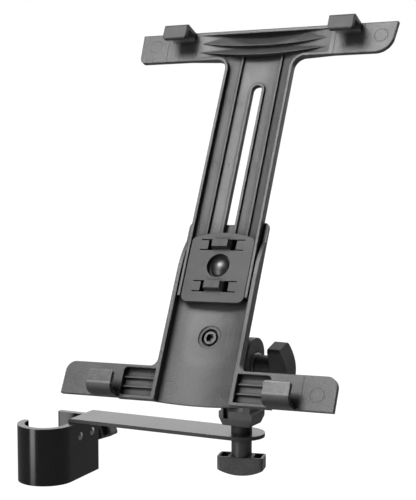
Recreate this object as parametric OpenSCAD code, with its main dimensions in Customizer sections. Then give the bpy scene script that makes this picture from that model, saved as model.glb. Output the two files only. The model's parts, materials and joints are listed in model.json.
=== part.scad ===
/* [Clamp] */
// Radius of the largest tube that the clamp takes
tube_r = 15; // [8:0.5:20]
// Wall thickness of the clamp jaw
jaw_wall = 5; // [3:0.5:8]
// Height of the clamp jaw along the tube
jaw_h = 40; // [30:1:60]
// Distance from the tube axis to the inner face of the screw wall
jaw_depth = 35; // [32:1:55]
// How far the hook tip reaches past the tube axis
hook_rise = 0.5; // [0:0.25:3]
// Width of the screw wall beyond the tube axis on the open side
screw_wall_reach = 12; // [10:1:20]
// Radius of the threaded clamp screw
clamp_screw_r = 4; // [3:0.25:5]
// Free travel of the clamp screw before its knob meets the wall
clamp_travel = 12; // [6:1:18]
// Radius of the pressure pad
pad_r = 8; // [6:0.5:12]
// Thickness of the pressure pad
pad_t = 4.5; // [3:0.5:8]
// Gap between the largest tube and the opened pressure pad
pad_gap = 0.3; // [0.1:0.1:2]

/* [Support arm] */
// Width of the flat steel arm
arm_w = 31.5; // [24:1:36]
// Thickness of the flat steel arm
arm_t = 2.5; // [2:0.25:4]
// Distance of the arm's centre line behind the centre of the round seat
arm_cy = 24.5; // [23.5:0.25:27]
// Distance from the tube axis to the swivel axis
post_x = 138.8; // [110:1:220]
// Length of the riveted tab below the arm
tab_h = 14; // [11:0.5:20]
// Inside radius of the bend between arm and tab
bend_r = 1.5; // [1:0.25:3]
// Radius of a rivet shank
rivet_r = 2; // [1.5:0.25:2.5]
// Distance between the two rivets
rivet_gap = 16.4; // [12:1:20]
// Distance of the rivets below the top of the jaw
rivet_drop = 10.3; // [5:0.1:11]

/* [Wing knobs] */
// Length of a knob wing
wing_l = 31.4; // [26:0.2:44]
// Thickness of a knob wing
wing_t = 14.6; // [14.4:0.2:18]
// Height of a knob wing at its two ends
wing_end_h = 8.6; // [6:0.1:12]
// Height of a knob wing in its middle
wing_mid_h = 12.4; // [10:0.1:17]
// Wall left around the cored pockets of a wing
wing_wall = 1.5; // [1:0.25:3]
// Radius of a knob stem
stem_r = 6.9; // [6:0.1:9]
// Length of a knob stem
stem_l = 12.1; // [8:0.1:18]

/* [Swivel and tilt] */
// Turn of the holder about the upright swivel axis
swivel = -3.1; // [-60:0.1:60]
// Lean of the holder backwards from upright
tilt = 28.2; // [5:0.1:60]
// Turn of the holder in its own plane
roll = 2.2; // [-45:0.1:45]
// Height of the tilt axis above the arm
tilt_h = 47; // [40:0.5:60]
// Distance from the tilt axis to the front plane of the holder
pivot_reach = 60; // [50:0.2:70]
// Height of the spacer between arm and yoke
spacer_h = 5.8; // [4:0.2:12]
// Radius of the swivel bolt and the tilt bolt
bolt_r = 3; // [2.5:0.25:4]
// Width of the yoke base across the tilt axis
yoke_w = 25; // [23:0.2:34]
// Depth of the yoke base
yoke_d = 19; // [17:0.5:28]
// Height of the flared yoke base
yoke_base_h = 9.5; // [8.5:0.5:14]
// Radius of the rounded yoke ears and of the tongue between them
ear_r = 12.5; // [9:0.5:14]
// How far the ears' rounded tops stand above the tilt bolt
ear_rise = 5.6; // [0:0.5:10]
// Thickness of one yoke ear
ear_t = 5; // [4.5:0.5:7]
// Thickness of the tongue between the yoke ears
tongue_t = 11; // [10:0.5:15]
// Turn of the swivel knob wing seen from above
swivel_knob_turn = 15.4; // [-180:0.1:180]
// Turn of the tilt knob wing about its bolt
tilt_knob_turn = 45; // [-180:1:180]
// Turn of the clamp knob wing about its screw
clamp_knob_turn = 20; // [-180:1:180]
// Radius of the pivot disc behind the holder
disc_r = 17; // [13:0.5:22]
// Thickness of the pivot disc
disc_t = 5; // [3.5:0.5:8]
// Radius of the pivot screw's head
pivot_head_r = 4.8; // [4.6:0.1:5.6]
// Height of the pivot screw's head
pivot_head_h = 2.2; // [1.8:0.1:3]
// Width across the flats of the pivot screw's socket
socket_af = 5; // [4:0.5:5.5]
// Thickness of the friction ring behind the holder
friction_t = 1; // [0.6:0.1:2]

/* [Lower frame] */
// Half width of the channel across its front edges
channel_half_w = 29.1; // [27:0.1:36]
// Thickness of the channel walls and floor
channel_t = 1.8; // [1.5:0.1:3]
// Thickness of the channel's side walls
channel_wall_t = 2.8; // [2:0.1:3.5]
// Depth of the channel floor behind the front plane, on the centre line
channel_depth = 8.6; // [7.5:0.1:14]
// Radius of the curved channel floor
floor_r = 92; // [60:1:160]
// Height of the channel top above the pivot
channel_top = 78.5; // [72:0.2:90]
// Radius of the corners at the channel's upper end
channel_corner_r = 4; // [1:0.5:8]
// Height above the pivot at which the channel walls start to drop
shoulder_v = 43; // [36:1:55]
// Radius of the dropping wall edge
shoulder_r = 56; // [40:1:70]
// Distance of the lower bar's top edge below the pivot
low_bar_top = 23.5; // [18:0.1:30]
// Height of the lower bar
low_bar_h = 22.1; // [18:0.1:30]
// Half length of the lower bar
low_bar_half = 96; // [85:0.2:120]
// Front wall thickness of both bars
bar_t = 2; // [1.6:0.1:4]
// Depth of the back rim around both bars
rim_depth = 3; // [2.4:0.1:5]
// Thickness of the back rim around both bars
rim_t = 1.8; // [1.2:0.1:2.5]
// Depth of the boxed part of each bar beside the column
box_depth = 5.5; // [4.5:0.1:8]
// Length of the ribbed pocket beside the channel
pocket_l = 23; // [20:0.5:32]
// Thickness of a stiffening rib in a pocket
pocket_rib_t = 1; // [0.8:0.1:1.6]

/* [Upper frame] */
// Half width of the sliding arm across its front edges
slider_half_w = 25.2; // [23:0.1:26.2]
// Thickness of the sliding arm's web
web_t = 2; // [1.6:0.1:3]
// Thickness of the sliding arm's edge flanges
flange_t = 2; // [1.6:0.1:3]
// Clearance between the sliding arm and the channel floor
slide_gap = 0.3; // [0.2:0.05:0.5]
// Height of the sliding arm's lower end above the pivot
slider_end = 25; // [20:0.2:36]
// Height of the top bar's lower edge above the pivot
top_bar_low = 199.4; // [180:0.2:240]
// Height of the top bar
top_bar_h = 22.2; // [18:0.1:30]
// Half length of the top bar
top_bar_half = 96; // [85:0.2:120]
// How far the upper bar's ends lean in at their lower edge
end_slant = 1.4; // [0:0.1:3]
// How far the upper bar's thick middle runs out past the waves
taper_l = 14; // [4:1:20]
// Radius of the fillets between arm and top bar
neck_r = 8; // [5:0.5:14]
// Half width of the slot in the sliding arm
slot_half_w = 3.7; // [3.3:0.05:5]
// Height of the slot's upper end above the pivot
slot_top = 180.4; // [150:0.2:182]
// Width of the raised rim around the slot
slot_rim_t = 1.8; // [1.2:0.1:3]
// Height of the raised rim around the slot
slot_rim_h = 1.6; // [1:0.1:2.4]
// Distance of the two long ribs from the centre line
long_rib_u = 14.8; // [12:0.1:20]
// Thickness of the two long ribs
long_rib_t = 1.4; // [1:0.1:2]
// Height of the two long ribs above the web
long_rib_h = 1.7; // [1:0.1:2.4]
// Half length of the waves in the top bar
wave_half = 50; // [44:1:58]
// Dip of the waves at the centre line
wave_dip = 3.9; // [2:0.1:5]
// Depth of the stepped waves at the centre line
wave_deep = 3.4; // [2:0.1:3.6]
// Thickness of the rim above the waves
top_rim_t = 2.4; // [1.6:0.1:3.5]

/* [Hooks] */
// Distance of the hooks from the centre line
hook_u = 62; // [56:0.5:80]
// Width of a hook
hook_w = 17.8; // [14:0.2:26]
// Forward reach of the upper hooks
top_hook_reach = 15.3; // [11:0.1:20]
// Height of the lip on the upper hooks
top_lip_h = 11.4; // [8:0.2:14]
// Forward reach of the lower hooks
low_hook_reach = 12; // [10:0.5:18]
// Height of the lip on the lower hooks above the bend
low_lip_h = 14.4; // [12:0.2:20]
// Thickness of the hook arms and lips
hook_t = 3; // [2.5:0.25:3.5]

/* [Slide plate] */
// Height of the clamping screw above the pivot
screw_v = 46.5; // [44:0.5:54]
// Clearance between the slide plate and the arm's flanges
plate_gap = 0.6; // [0.3:0.1:1.2]
// Recess of the slide plate behind the front plane
plate_sink = 0.5; // [0.4:0.1:1.5]
// Thickness of the slide plate
plate_t = 2.3; // [1.8:0.1:3]
// Height of the slide plate below the screw
plate_low = 25.2; // [22:0.2:30]
// Height of the slide plate's corners above the screw
plate_high = 19; // [16:0.2:24]
// Extra height of the arched top edge
plate_arch = 4; // [2:0.2:8]
// Radius of the screw head hole
head_hole_r = 8.1; // [6.5:0.1:10]
// Radius of the screw head
head_r = 6.6; // [5:0.1:8.5]
// Radius of the clamping screw shank
slide_screw_r = 2.5; // [2:0.1:2.8]
// Distance of the clip tabs from the screw
clip_v = 14.4; // [13:0.2:16]
// Half width of each clip tab
tab_half = 5.3; // [5:0.1:7]
// How far the clip tabs stand out of the bars' front plane
tab_rise = 2.6; // [1:0.1:4]

/* [Fits] */
// Radial clearance of a turning or sliding shaft in its bore
run_gap = 0.05; // [0.02:0.01:0.1]
// Clearance between flat faces that move past each other
face_gap = 0.2; // [0.1:0.05:0.3]
// Clearance at a rivet or screw shank that does not move
shank_gap = 0.1; // [0.05:0.05:0.2]

/* [Hidden] */
$fn = 64;
eps = 0.01;
far = 400;
black_coat = "#1d1e20";
steel_arm = "#8d8f91";
bright_steel = "#c9ccd0";
dark_plastic = "#3a3b3d";
grey_plastic = "#6b6d6f";
jaw_r = tube_r + jaw_wall;
jaw_back = jaw_depth + jaw_wall;
wall_in_x = tube_r;
wall_out_x = jaw_r;
tab_y0 = 9.3;
tab_y1 = jaw_depth - bend_r - 0.3;
tab_cy = (tab_y0 + tab_y1) / 2;
arm_bottom = jaw_h / 2;
arm_top = arm_bottom + arm_t;
arm_x0 = wall_in_x - arm_t;
rivet_z = arm_bottom - rivet_drop;
rivet_head_r = rivet_r * 1.45;
pad_y = tube_r + pad_gap;
tip_r = clamp_screw_r * 0.7;
tip_depth = pad_t * 0.6;
clamp_stem_y = jaw_back + clamp_travel;
swivel_hole_r = bolt_r + run_gap;
washer_t = 1.2;
pivot_washer_t = 0.8;
nut_boss_r = 10;
washer_r = stem_r + 1.6;
knob_base = arm_bottom - washer_t;
yoke_z = arm_top + spacer_h;
tilt_z = arm_top + tilt_h;
ear_in = tongue_t / 2 + face_gap;
ear_out = ear_in + ear_t;
nut_r = 5.8;
nut_t = 4;
slot_bottom = screw_v;
low_bar_low = low_bar_top + low_bar_h;
pivot_seat = channel_depth + 0.4 + pivot_head_h + pivot_washer_t;
boss_back = pivot_seat + channel_t;
disc_front = boss_back + face_gap + friction_t;
disc_back = disc_front + disc_t;
pivot_pocket_r = pivot_head_r + 1.1;
pivot_thread_l = 12;
slider_back = channel_depth - slide_gap;
wall_in_u = channel_half_w - channel_wall_t;
side_floor = channel_depth - floor_r + sqrt(pow(floor_r, 2) - wall_in_u * wall_in_u) - 0.3;
slider_floor_r = floor_r - slide_gap;
plate_half_w = slider_half_w - flange_t - plate_gap;
nut_seat = channel_depth + channel_t + 1.5;
screw_seat = plate_sink + plate_t + 0.6;
top_bar_high = top_bar_low + top_bar_h;
wave_r = (pow(wave_half, 2) + pow(wave_dip, 2)) / (2 * wave_dip);
wave_lip = 0.3;

// Places a piece whose local Z is the swivel axis, above the arm's bottom
module at_post(height = 0) {
    translate([post_x, arm_cy, height]) rotate([0, 0, swivel]) children();
}

// Places a piece in the tilted frame: X along the tilt axis, Z towards the viewer
module at_tilt() {
    at_post(tilt_z) rotate([90 - tilt, 0, 0]) children();
}

// Places a piece in the holder's own plane: X across, Y up, Z out of the front
module at_holder() {
    at_tilt() translate([0, 0, pivot_reach]) rotate([0, 0, roll]) children();
}

// A bar from (x0, y0) to (x1, y1), seen in plan
module span(x0, x1, y0, y1) {
    translate([x0, y0]) square([x1 - x0, y1 - y0]);
}

// The piece left outside a rounded corner at the origin, for a corner that points to +X +Y
module corner_waste(r) {
    difference() {
        translate([-r, -r]) square(r + 1);
        translate([-r, -r]) circle(r);
    }
}

// A concave fillet that fills the corner between two edges at the origin, open to +X +Y
module corner_fill(r) {
    difference() {
        translate([-eps, -eps]) square(r + eps);
        translate([r, r]) circle(r);
    }
}

// A wing knob: stem from z = 0 to -stem_l, then the wing below it
module wing_knob(bore_r, bore_l) {
    arc_r = (pow(wing_l / 2, 2) + pow(wing_mid_h - wing_end_h, 2)) / (2 * (wing_mid_h - wing_end_h));
    core_l = wing_l / 2 - stem_r - 2 * wing_wall;
    difference() {
        union() {
            translate([0, 0, -stem_l - 1]) cylinder(r = stem_r, h = stem_l + 1);
            intersection() {
                translate([0, 0, -stem_l - wing_mid_h - 1]) linear_extrude(wing_mid_h + 1) difference() {
                    span(-wing_l / 2, wing_l / 2, -wing_t / 2, wing_t / 2);
                    for (a = [0, 1], b = [0, 1]) mirror([a, 0]) mirror([0, b])
                        translate([wing_l / 2, wing_t / 2]) corner_waste(2.2);
                }
                translate([0, wing_t, arc_r - stem_l - wing_mid_h]) rotate([90, 0, 0])
                    cylinder(r = arc_r, h = 2 * wing_t, $fn = 180);
            }
        }
        for (side = [0, 1]) mirror([side, 0, 0])
            translate([stem_r + wing_wall, -wing_t / 2 + wing_wall, -stem_l - wing_end_h + 2.5])
                cube([core_l, wing_t - 2 * wing_wall, wing_end_h]);
        translate([0, 0, -bore_l]) cylinder(r = bore_r, h = bore_l + 1);
    }
}

module clamp_jaw() {
    color(black_coat) difference() {
        translate([0, 0, -jaw_h / 2]) linear_extrude(jaw_h) difference() {
            union() {
                circle(jaw_r, $fn = 96);
                span(0, wall_out_x, 0, jaw_back);
                span(-screw_wall_reach, wall_out_x, jaw_depth, jaw_back);
                translate([-tube_r - jaw_wall / 2, hook_rise]) circle(jaw_wall / 2, $fn = 32);
            }
            circle(tube_r, $fn = 96);
            difference() {
                span(-far, 0, hook_rise, jaw_depth);
                translate([-tube_r - jaw_wall / 2, hook_rise]) circle(jaw_wall / 2, $fn = 32);
            }
            difference() {
                span(-eps, wall_in_x, 0, jaw_depth);
                translate([wall_in_x, jaw_depth]) rotate(180) corner_fill(bend_r);
            }
            translate([wall_out_x, jaw_back]) corner_waste(2);
            translate([-screw_wall_reach, jaw_back]) mirror([1, 0]) corner_waste(1.5);
            translate([-screw_wall_reach, jaw_depth]) rotate(180) corner_waste(1.5);
        }
        translate([0, jaw_back + 1, 0]) rotate([90, 0, 0]) cylinder(r = clamp_screw_r + run_gap, h = jaw_wall + 2);
        for (side = [-1, 1]) translate([wall_in_x - 1, tab_cy + side * rivet_gap / 2, rivet_z])
            rotate([0, 90, 0]) cylinder(r = rivet_r + shank_gap, h = jaw_wall + 2, $fn = 32);
    }
}

module support_arm() {
    color(steel_arm) difference() {
        union() {
            translate([0, 0, arm_bottom]) linear_extrude(arm_t) {
                span(arm_x0 + bend_r + arm_t, post_x, arm_cy - arm_w / 2, arm_cy + arm_w / 2);
                translate([post_x, arm_cy]) circle(arm_w / 2, $fn = 96);
            }
            translate([0, arm_cy + arm_w / 2, 0]) rotate([90, 0, 0]) linear_extrude(arm_w) difference() {
                union() {
                    span(arm_x0, arm_x0 + arm_t, arm_bottom - tab_h, arm_top);
                    span(arm_x0, arm_x0 + arm_t + bend_r + 1, arm_bottom, arm_top);
                }
                translate([arm_x0, arm_top]) mirror([1, 0]) corner_waste(arm_t);
            }
        }
        translate([arm_x0 - 1, arm_cy - arm_w / 2 - 1, arm_bottom - tab_h - 1])
            cube([arm_t + 1, tab_y0 - arm_cy + arm_w / 2 + 1, tab_h + 1]);
        translate([arm_x0 - 1, tab_y1, arm_bottom - tab_h - 1]) cube([arm_t + 1, arm_w, tab_h + 1]);
        translate([post_x, arm_cy, arm_bottom - 1]) cylinder(r = swivel_hole_r, h = arm_t + 2);
        for (side = [-1, 1]) translate([arm_x0 - 1, tab_cy + side * rivet_gap / 2, rivet_z])
            rotate([0, 90, 0]) cylinder(r = rivet_r + shank_gap, h = arm_t + 2, $fn = 32);
    }
}

module clamp_rivets() {
    head_h = rivet_r * 0.6;
    dome_r = (pow(rivet_head_r, 2) + pow(head_h, 2)) / (2 * head_h);
    color(bright_steel) for (side = [-1, 1]) translate([arm_x0, tab_cy + side * rivet_gap / 2, rivet_z])
        rotate([0, 90, 0]) {
            cylinder(r = rivet_r, h = wall_out_x - arm_x0 + eps, $fn = 32);
            intersection() {
                translate([0, 0, wall_out_x - arm_x0]) cylinder(r = rivet_head_r, h = head_h, $fn = 32);
                translate([0, 0, wall_out_x - arm_x0 + head_h - dome_r]) sphere(dome_r, $fn = 64);
            }
        }
}

module pressure_pad() {
    color(dark_plastic) translate([0, pad_y, 0]) rotate([-90, 0, 0]) difference() {
        rotate_extrude($fn = 96) polygon([[0, 0], [pad_r - 1, 0], [pad_r, 1], [pad_r, pad_t - 1],
            [pad_r - 1.5, pad_t], [0, pad_t]]);
        translate([0, 0, pad_t - tip_depth]) cylinder(r = tip_r + run_gap, h = tip_depth + 1);
    }
}

module clamp_screw() {
    color(bright_steel) translate([0, pad_y + pad_t - tip_depth + face_gap, 0]) rotate([-90, 0, 0]) {
        tip_l = tip_depth + 1 - face_gap;
        cylinder(r = tip_r, h = tip_l + eps);
        translate([0, 0, tip_l]) cylinder(r1 = tip_r, r2 = clamp_screw_r, h = 1 + eps);
        translate([0, 0, tip_l + 1])
            cylinder(r = clamp_screw_r, h = clamp_stem_y + stem_l - pad_y - pad_t - 2);
    }
}

module clamp_knob() {
    color(dark_plastic) translate([0, clamp_stem_y, 0]) rotate([90, 0, 0]) rotate([0, 0, clamp_knob_turn])
        wing_knob(clamp_screw_r, stem_l);
}

module swivel_bolt() {
    thread_top = yoke_z + yoke_base_h - 4;
    color(bright_steel) at_post(knob_base - stem_l + 0.5)
        cylinder(r = bolt_r, h = thread_top - knob_base + stem_l - 0.5);
}

module swivel_knob() {
    color(dark_plastic) at_post(knob_base) rotate([0, 0, swivel_knob_turn]) wing_knob(bolt_r, stem_l - 0.5);
}

// A flat ring that stands on z = 0
module ring(outer, inner, h) {
    difference() {
        cylinder(r = outer, h = h);
        translate([0, 0, -1]) cylinder(r = inner, h = h + 2);
    }
}

module swivel_washer() {
    color(bright_steel) at_post(knob_base) ring(washer_r, bolt_r + run_gap, washer_t);
}

module swivel_spacer() {
    color(dark_plastic) at_post(arm_top) ring(stem_r + 0.2, bolt_r + run_gap, spacer_h);
}

module yoke() {
    ear_low = yoke_z + yoke_base_h - tilt_z;
    color(dark_plastic) at_post(0) difference() {
        union() {
            intersection() {
                translate([0, yoke_d / 2, yoke_z]) rotate([90, 0, 0]) linear_extrude(yoke_d)
                    polygon([[-stem_r - 3, 0], [stem_r + 3, 0], [yoke_w / 2, yoke_base_h - 4],
                        [yoke_w / 2, yoke_base_h], [-yoke_w / 2, yoke_base_h], [-yoke_w / 2, yoke_base_h - 4]]);
                translate([-yoke_w / 2, 0, yoke_z]) rotate([90, 0, 90]) linear_extrude(yoke_w)
                    polygon([[-stem_r - 2, 0], [stem_r + 2, 0], [yoke_d / 2, yoke_base_h - 5],
                        [yoke_d / 2, yoke_base_h], [-yoke_d / 2, yoke_base_h], [-yoke_d / 2, yoke_base_h - 5]]);
            }
            for (side = [0, 1]) mirror([side, 0, 0]) translate([ear_in, 0, tilt_z]) rotate([90, 0, 90])
                linear_extrude(ear_t) {
                    translate([0, ear_rise]) circle(ear_r, $fn = 96);
                    span(-yoke_d / 2, yoke_d / 2, ear_low - eps, 0);
                    polygon([[-yoke_d / 2, -eps], [yoke_d / 2, -eps], [ear_r, ear_rise], [-ear_r, ear_rise]]);
                }
        }
        translate([-ear_out - 1, 0, tilt_z]) rotate([0, 90, 0]) cylinder(r = bolt_r + run_gap, h = 2 * ear_out + 2);
        translate([-ear_out - 1, 0, tilt_z]) rotate([0, 90, 0]) cylinder(r = nut_r + 0.15, h = nut_t + 1, $fn = 6);
        translate([0, 0, yoke_z - 1]) cylinder(r = bolt_r + run_gap, h = yoke_base_h - 2);
        for (side = [-1, 1]) translate([-yoke_w / 2 + 3.5, side * (yoke_d / 2) - 3, yoke_z + 4.5])
            cube([yoke_w / 2 - 9, 6, yoke_base_h]);
    }
}

module tilt_bolt() {
    color(bright_steel) at_tilt() translate([-ear_out, 0, 0]) rotate([0, 90, 0])
        cylinder(r = bolt_r, h = 2 * ear_out + washer_t + stem_l - 0.5);
}

module tilt_knob() {
    color(dark_plastic) at_tilt() translate([ear_out + washer_t, 0, 0]) rotate([0, -90, 0])
        rotate([0, 0, tilt_knob_turn]) wing_knob(bolt_r, stem_l - 0.5);
}

module tilt_washer() {
    color(bright_steel) at_tilt() translate([ear_out, 0, 0]) rotate([0, 90, 0])
        ring(stem_r + 1.2, bolt_r + run_gap, washer_t);
}

module tilt_nut() {
    color(bright_steel) at_post(tilt_z) translate([-ear_out, 0, 0]) rotate([0, 90, 0]) difference() {
        cylinder(r = nut_r, h = nut_t, $fn = 6);
        translate([0, 0, -1]) cylinder(r = bolt_r + run_gap, h = nut_t + 2);
    }
}

module pivot_head() {
    disc_z = pivot_reach - disc_front;
    disc_low = disc_z - disc_t + eps;
    color(dark_plastic) at_tilt() difference() {
        union() {
            translate([0, 0, disc_z - disc_t]) cylinder(r = disc_r, h = disc_t, $fn = 96);
            translate([-tongue_t / 2, 0, 0]) rotate([90, 0, 90]) linear_extrude(tongue_t) {
                circle(ear_r, $fn = 96);
                polygon([[-ear_r, 0], [ear_r, 0], [ear_r, disc_low], [-ear_r, disc_low]]);
            }
            for (side = [0, 1]) mirror([side, 0, 0]) translate([0, 1.5, 0]) rotate([90, 0, 0]) linear_extrude(3)
                polygon([[0, ear_r + ear_rise + 1.5], [tongue_t / 2, ear_r + ear_rise + 1.5], [disc_r - 2, disc_low], [0, disc_low]]);
        }
        translate([-tongue_t, 0, 0]) rotate([0, 90, 0]) cylinder(r = bolt_r + run_gap, h = 2 * tongue_t);
        translate([0, 0, disc_z - pivot_thread_l]) cylinder(r = bolt_r, h = pivot_thread_l + 1);
    }
}

module friction_ring() {
    color(black_coat) at_holder() translate([0, 0, -disc_front]) ring(disc_r - 1, bolt_r + shank_gap, friction_t);
}

module pivot_screw() {
    shank_l = pivot_thread_l - 1 + disc_front - pivot_seat + pivot_washer_t;
    color(bright_steel) at_holder() translate([0, 0, -pivot_seat + pivot_washer_t]) difference() {
        union() {
            translate([0, 0, -shank_l]) cylinder(r = bolt_r, h = shank_l + eps);
            cylinder(r = pivot_head_r, h = pivot_head_h - 0.6 + eps);
            translate([0, 0, pivot_head_h - 0.6]) cylinder(r1 = pivot_head_r, r2 = pivot_head_r - 0.6, h = 0.6);
        }
        cylinder(r = socket_af / sqrt(3), h = pivot_head_h + 1, $fn = 6);
        translate([0, 0, -1.2]) cylinder(r = socket_af / 2 - 0.2, h = 2);
    }
}

module pivot_washer() {
    color(black_coat) at_holder() translate([0, 0, -pivot_seat])
        ring(pivot_pocket_r - 0.1, bolt_r + shank_gap, pivot_washer_t);
}

// Outline of a bar with rounded corners on one side: the upper side for 1, the lower side for -1
module bar_outline(half, low, high, left_r, right_r, side) {
    edge = side > 0 ? high : low;
    flip = side > 0 ? 0 : 1;
    slant = side > 0 ? 0 : end_slant;
    difference() {
        polygon([[-half, high], [half, high], [half - slant, low], [-half + slant, low]]);
        translate([half - slant, edge]) mirror([0, flip]) corner_waste(right_r);
        translate([-half + slant, edge]) mirror([1, 0]) mirror([0, flip]) corner_waste(left_r);
    }
}

// The back rim of a bar: a wall that follows the bar's outline
module bar_rim(half, low, high, left_r, right_r, side) {
    difference() {
        bar_outline(half, low, high, left_r, right_r, side);
        bar_outline(half - rim_t, low + rim_t, high - rim_t, left_r - rim_t, right_r - rim_t, side);
    }
}

// Section of the open channel: X across, Y out of the front
module channel_section() {
    difference() {
        intersection() {
            span(-channel_half_w, channel_half_w, -far, 0);
            translate([0, floor_r - channel_depth]) circle(floor_r + channel_t, $fn = 360);
        }
        intersection() {
            span(-wall_in_u, wall_in_u, -far, 1);
            translate([0, floor_r - channel_depth]) circle(floor_r, $fn = 360);
        }
    }
}

// Everything in front of the dropping shoulder edge of the channel walls
module shoulder_waste() {
    translate([-far / 2, 0, 0]) rotate([90, 0, 90]) linear_extrude(far) difference() {
        span(shoulder_v, far, -side_floor, far);
        translate([shoulder_v, -shoulder_r]) circle(shoulder_r, $fn = 180);
    }
}

// Rounds the two side corners of a hook's lip, seen from the front
module lip_waste(v, up) {
    for (side = [0, 1]) mirror([side, 0, 0]) translate([hook_w / 2, v, hook_t]) linear_extrude(far)
        mirror([0, up > 0 ? 0 : 1]) corner_waste(2.2);
}

module low_hook() {
    bend = 6;
    difference() {
        low_hook_body(bend);
        lip_waste(-low_bar_low + low_lip_h, 1);
    }
}

module low_hook_body(bend) {
    translate([-hook_w / 2, 0, 0]) rotate([90, 0, 90]) linear_extrude(hook_w) difference() {
        union() {
            span(-low_bar_low, -low_bar_low + hook_t, -bar_t, low_hook_reach);
            span(-low_bar_low, -low_bar_low + low_lip_h, low_hook_reach - hook_t, low_hook_reach);
            translate([-low_bar_low + hook_t, low_hook_reach - hook_t]) mirror([0, 1]) corner_fill(bend - hook_t);
        }
        translate([-low_bar_low, low_hook_reach]) mirror([1, 0]) corner_waste(bend);
        translate([-low_bar_low + low_lip_h, low_hook_reach]) corner_waste(1.2);
    }
}

module pocket() {
    in_u = channel_half_w - eps;
    low = -low_bar_low + rim_t;
    high = -low_bar_top - rim_t;
    translate([0, 0, -box_depth + 1.5]) linear_extrude(far) difference() {
        span(in_u, in_u + pocket_l, low, high);
        translate([in_u + pocket_l, high]) corner_waste(2.5);
        translate([in_u + pocket_l, low]) mirror([0, 1]) corner_waste(2.5);
    }
}

module pocket_ribs() {
    rib_step = (low_bar_h - 2 * rim_t) / 3;
    for (i = [1, 2])
        translate([channel_half_w - 1, -low_bar_low + rim_t + i * rib_step - pocket_rib_t / 2, -box_depth])
            cube([pocket_l + 1.5, pocket_rib_t, box_depth - 2]);
}

module lower_frame() {
    color(grey_plastic) at_holder() difference() {
        union() {
            difference() {
                rotate([90, 0, 0]) translate([0, 0, -channel_top]) linear_extrude(channel_top + low_bar_low)
                    channel_section();
                shoulder_waste();
                for (side = [0, 1]) mirror([side, 0, 0]) translate([channel_half_w, channel_top, -far / 2])
                    linear_extrude(far) corner_waste(channel_corner_r);
            }
            difference() {
                union() {
                    translate([0, 0, -bar_t]) linear_extrude(bar_t)
                        bar_outline(low_bar_half, -low_bar_low, -low_bar_top, 7, 7, 1);
                    translate([0, 0, -rim_depth]) linear_extrude(rim_depth)
                        bar_rim(low_bar_half, -low_bar_low, -low_bar_top, 7, 7, 1);
                    for (side = [0, 1]) mirror([side, 0, 0]) {
                        translate([channel_half_w - 1, -low_bar_low, -box_depth])
                            cube([pocket_l + 1 + rim_t, low_bar_h, box_depth]);
                        translate([channel_half_w, -low_bar_top, -box_depth]) linear_extrude(box_depth) corner_fill(5);
                    }
                }
                for (side = [0, 1]) mirror([side, 0, 0]) pocket();
                translate([0, 0, -far / 2]) linear_extrude(far)
                    span(-channel_half_w + eps, channel_half_w - eps, -far, far);
            }
            for (side = [0, 1]) mirror([side, 0, 0]) {
                pocket_ribs();
                translate([hook_u, 0, 0]) low_hook();
            }
            translate([0, 0, -boss_back]) cylinder(r = disc_r, h = boss_back - channel_depth - 0.3, $fn = 96);
            translate([0, screw_v, -nut_seat]) cylinder(r = nut_boss_r, h = nut_seat - channel_depth - 0.3);
        }
        translate([0, 0, -boss_back - 1]) cylinder(r = bolt_r + run_gap, h = boss_back);
        translate([0, 0, -channel_depth - 0.3]) cylinder(r = pivot_pocket_r + 2, h = channel_depth);
        translate([0, 0, -pivot_seat]) cylinder(r = pivot_pocket_r, h = channel_depth);
        translate([0, screw_v, -nut_seat - 1]) cylinder(r = slide_screw_r + shank_gap, h = nut_seat, $fn = 32);
    }
}

// Section of the sliding arm without its ribs: X across, Y out of the front
module slider_section() {
    difference() {
        intersection() {
            span(-slider_half_w, slider_half_w, -far, 0);
            translate([0, slider_floor_r - slider_back]) circle(slider_floor_r, $fn = 360);
        }
        intersection() {
            span(-slider_half_w + flange_t, slider_half_w - flange_t, -far, 1);
            translate([0, slider_floor_r - slider_back]) circle(slider_floor_r - web_t, $fn = 360);
        }
    }
}

// Depth of the arm's front web surface behind the front plane, at a distance from the centre line
function web_front(u) = slider_back - slider_floor_r + sqrt(pow(slider_floor_r - web_t, 2) - u * u);

module slot_outline(grow) {
    for (v = [slot_bottom, slot_top - slot_half_w]) translate([0, v]) circle(slot_half_w + grow, $fn = 48);
    span(-slot_half_w - grow, slot_half_w + grow, slot_bottom, slot_top - slot_half_w);
}

// Everything in front of a shallow cylinder that fades out at the ends of the waves
module fade(deep) {
    r = (pow(wave_half, 2) + pow(deep, 2)) / (2 * deep);
    translate([0, top_bar_low - neck_r - 2, r - deep]) rotate([-90, 0, 0])
        cylinder(r = r, h = top_bar_h + neck_r + 2 - top_rim_t, $fn = 720);
}

// Everything on the upper side of a wave that starts at a height above the bar's lower edge
module above_wave(height) {
    translate([0, top_bar_low + height + wave_r]) circle(wave_r, $fn = 720);
}

// A sloping cut whose lower edge follows an arc: shallow there and deep at its upper edge
module louvre(height, rise, arc_r, deep) {
    translate([0, top_bar_low + height + arc_r, 0]) rotate_extrude($fn = 720)
        polygon([[arc_r - rise, -deep], [arc_r, -wave_lip], [arc_r, far], [arc_r - rise, far]]);
}

module top_hook() {
    hook_top = top_bar_high - 1;
    difference() {
        top_hook_body(hook_top);
        lip_waste(hook_top, 1);
        lip_waste(hook_top - top_lip_h, -1);
    }
}

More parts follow.
